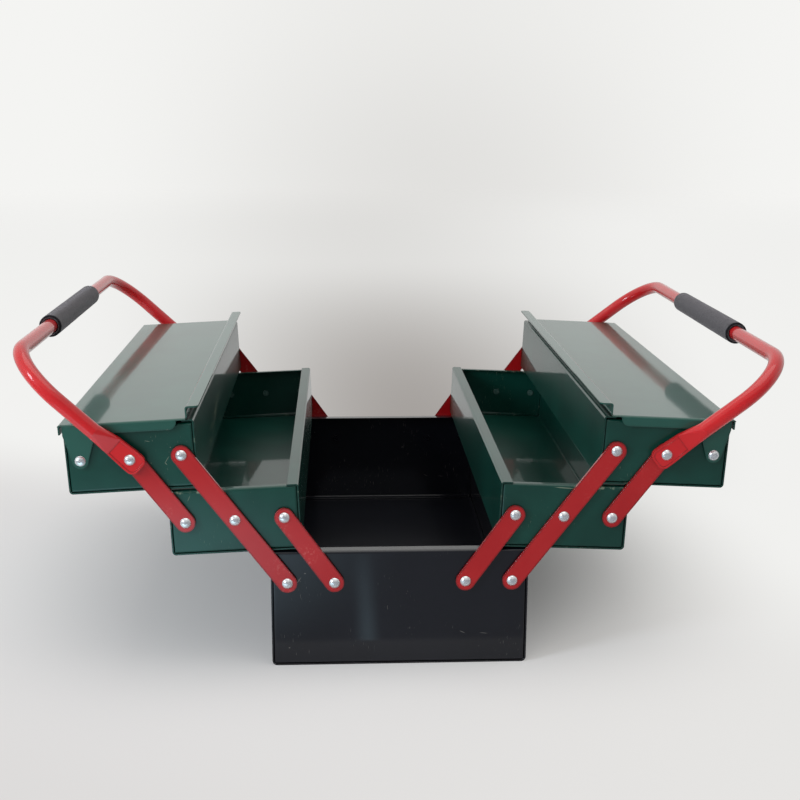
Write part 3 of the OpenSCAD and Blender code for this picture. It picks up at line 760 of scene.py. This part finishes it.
def make_floor():
    mesh = bpy.data.meshes.new("floor")
    disc = bmesh.new()
    bmesh.ops.create_circle(disc, cap_ends=True, radius=FLOOR_RADIUS, segments=96)
    disc.to_mesh(mesh)
    disc.free()
    floor = bpy.data.objects.new("floor", mesh)
    floor.location.z = -FLOOR_GAP
    bpy.context.scene.collection.objects.link(floor)
    material, tree = new_material("pale_painted_floor")
    place = add(tree, "ShaderNodeTexCoord").outputs["Object"]
    across, along, _ = parts(tree, place)
    ray = add(tree, "ShaderNodeLightPath").outputs
    away = add(tree, "ShaderNodeVectorMath", {0: place}, operation="LENGTH").outputs["Value"]
    clear = add(
        tree, "ShaderNodeVectorMath", {0: place, 1: SHADOW_MIDDLE}, operation="DISTANCE"
    ).outputs["Value"]
    lit = add(
        tree, "ShaderNodeBsdfPrincipled",
        {"Base Color": linear(FLOOR_PAINT), "Roughness": 0.85, "Specular IOR Level": 0.1},
    )
    own = add(
        tree, "ShaderNodeEmission",
        {"Color": floor_tone(tree, across, along, away), "Strength": 1.0},
    )
    glow = times(tree, ray["Is Camera Ray"], between(tree, clear, *GLOW_REACH, *GLOW))
    seen = add(
        tree, "ShaderNodeMixShader", {0: glow, 1: lit.outputs[0], 2: own.outputs[0]}
    )
    mirrored = glossy_floor(tree, place, lit.outputs[0])
    either = add(
        tree, "ShaderNodeMixShader",
        {0: ray["Is Glossy Ray"], 1: seen.outputs[0], 2: mirrored.outputs[0]},
    )
    shader = add(
        tree, "ShaderNodeMixShader",
        {0: between(tree, away, *FLOOR_FADE), 1: either.outputs[0],
         2: add(tree, "ShaderNodeBsdfTransparent").outputs[0]},
    )
    add(tree, "ShaderNodeOutputMaterial", {"Surface": shader.outputs[0]})
    mesh.materials.append(material)


# The background by direction: each value is a part of a direction one unit long
# A painted shade in the background behind the box, where the trays would throw their shade
WORLD_SHADE_MIDDLE = 0.07        # across
WORLD_SHADE_HALF = 0.28
WORLD_SHADE_UP = (-0.06, 0.08)   # where the shade fades with height
WORLD_SHADE_HIGH = 0.14          # what is left of it above that
WORLD_SHADE_ALONG = (0.0, 0.3)   # it lies behind the box only
DARK_ALONG = (-0.05, -0.4)       # the dark room lies in front
CEILING = (0.62, 0.48)           # and ends below this height
FILL = 0.42                      # strength of the even light


def make_world():
    """A soft room: even light on the object, and a pale background for the camera and for what
    reflects, with a painted shade behind the box, apart from the unlit room in front."""
    world = bpy.data.worlds.new("studio")
    bpy.context.scene.world = world
    world.use_nodes = True
    tree = world.node_tree
    tree.nodes.clear()
    ray = add(tree, "ShaderNodeLightPath").outputs
    across, along, up = parts(tree, add(tree, "ShaderNodeTexCoord").outputs["Generated"])
    off = maths(tree, "ABSOLUTE", maths(tree, "SUBTRACT", across, WORLD_SHADE_MIDDLE))
    side = between(tree, off, WORLD_SHADE_HALF, 0.0)
    shade = times(
        tree, side, between(tree, up, *WORLD_SHADE_UP, SHADE_FAR, WORLD_SHADE_HIGH)
    )
    pale = blended(
        tree, times(tree, shade, between(tree, along, *WORLD_SHADE_ALONG)), linear(BACKDROP),
        linear(BACKDROP_SHADE),
    )
    front = times(tree, between(tree, along, *DARK_ALONG), between(tree, up, *CEILING))
    room = blended(tree, times(tree, front, ray["Is Glossy Ray"]), pale, linear(DARK_ROOM))
    shown = larger(
        tree, larger(tree, ray["Is Camera Ray"], ray["Is Glossy Ray"]),
        ray["Is Transmission Ray"],
    )
    light = add(tree, "ShaderNodeBackground", {"Color": linear("#ffffff"), "Strength": FILL})
    strength = maths(tree, "MULTIPLY_ADD", ray["Is Glossy Ray"], -ROOM_DIM, 1.0)
    backdrop = add(tree, "ShaderNodeBackground", {"Color": room, "Strength": strength})
    both = add(
        tree, "ShaderNodeMixShader", {0: shown, 1: light.outputs[0], 2: backdrop.outputs[0]}
    )
    add(tree, "ShaderNodeOutputWorld", {"Surface": both.outputs[0]})


LAMP_AIM = Vector((0, 0, 0.1))


def make_lamp(name, place, size, watts, colour, mirrored=True):
    """A rectangular lamp that looks at the box. Only a mirrored one shows in reflections."""
    lamp = bpy.data.lights.new(name, "AREA")
    lamp.shape = "RECTANGLE"
    lamp.size, lamp.size_y = size
    lamp.energy = watts
    lamp.color = linear(colour)[:3]
    holder = bpy.data.objects.new(name, lamp)
    holder.location = place
    holder.rotation_euler = (LAMP_AIM - Vector(place)).to_track_quat("-Z", "Y").to_euler()
    holder.visible_glossy = mirrored
    bpy.context.scene.collection.objects.link(holder)


def make_lights():
    """The front lamp only lightens: a mirrored front room is dark, as in the photograph."""
    make_lamp("overhead_softbox", (0.05, 0.1, 2.0), (2.0, 1.6), 13, "#fffdfa")
    make_lamp("window_left", (-1.9, -1.2, 1.1), (0.5, 0.9), 24, "#e6f0ff")
    make_lamp("front_softbox", (-1.2, -2.2, 0.9), (1.4, 0.7), 13, "#fffaf4", mirrored=False)


# ---- The scene ----

make_camera()
finishes = dress_nodes()
sleeve = grip_tree(finishes["foam"], foam_cut())
make_grip("left", sleeve, 3.0)
make_grip("right", sleeve, 8.0)
make_floor()
make_world()
make_lights()

scene = bpy.context.scene
scene.view_settings.view_transform = "Standard"
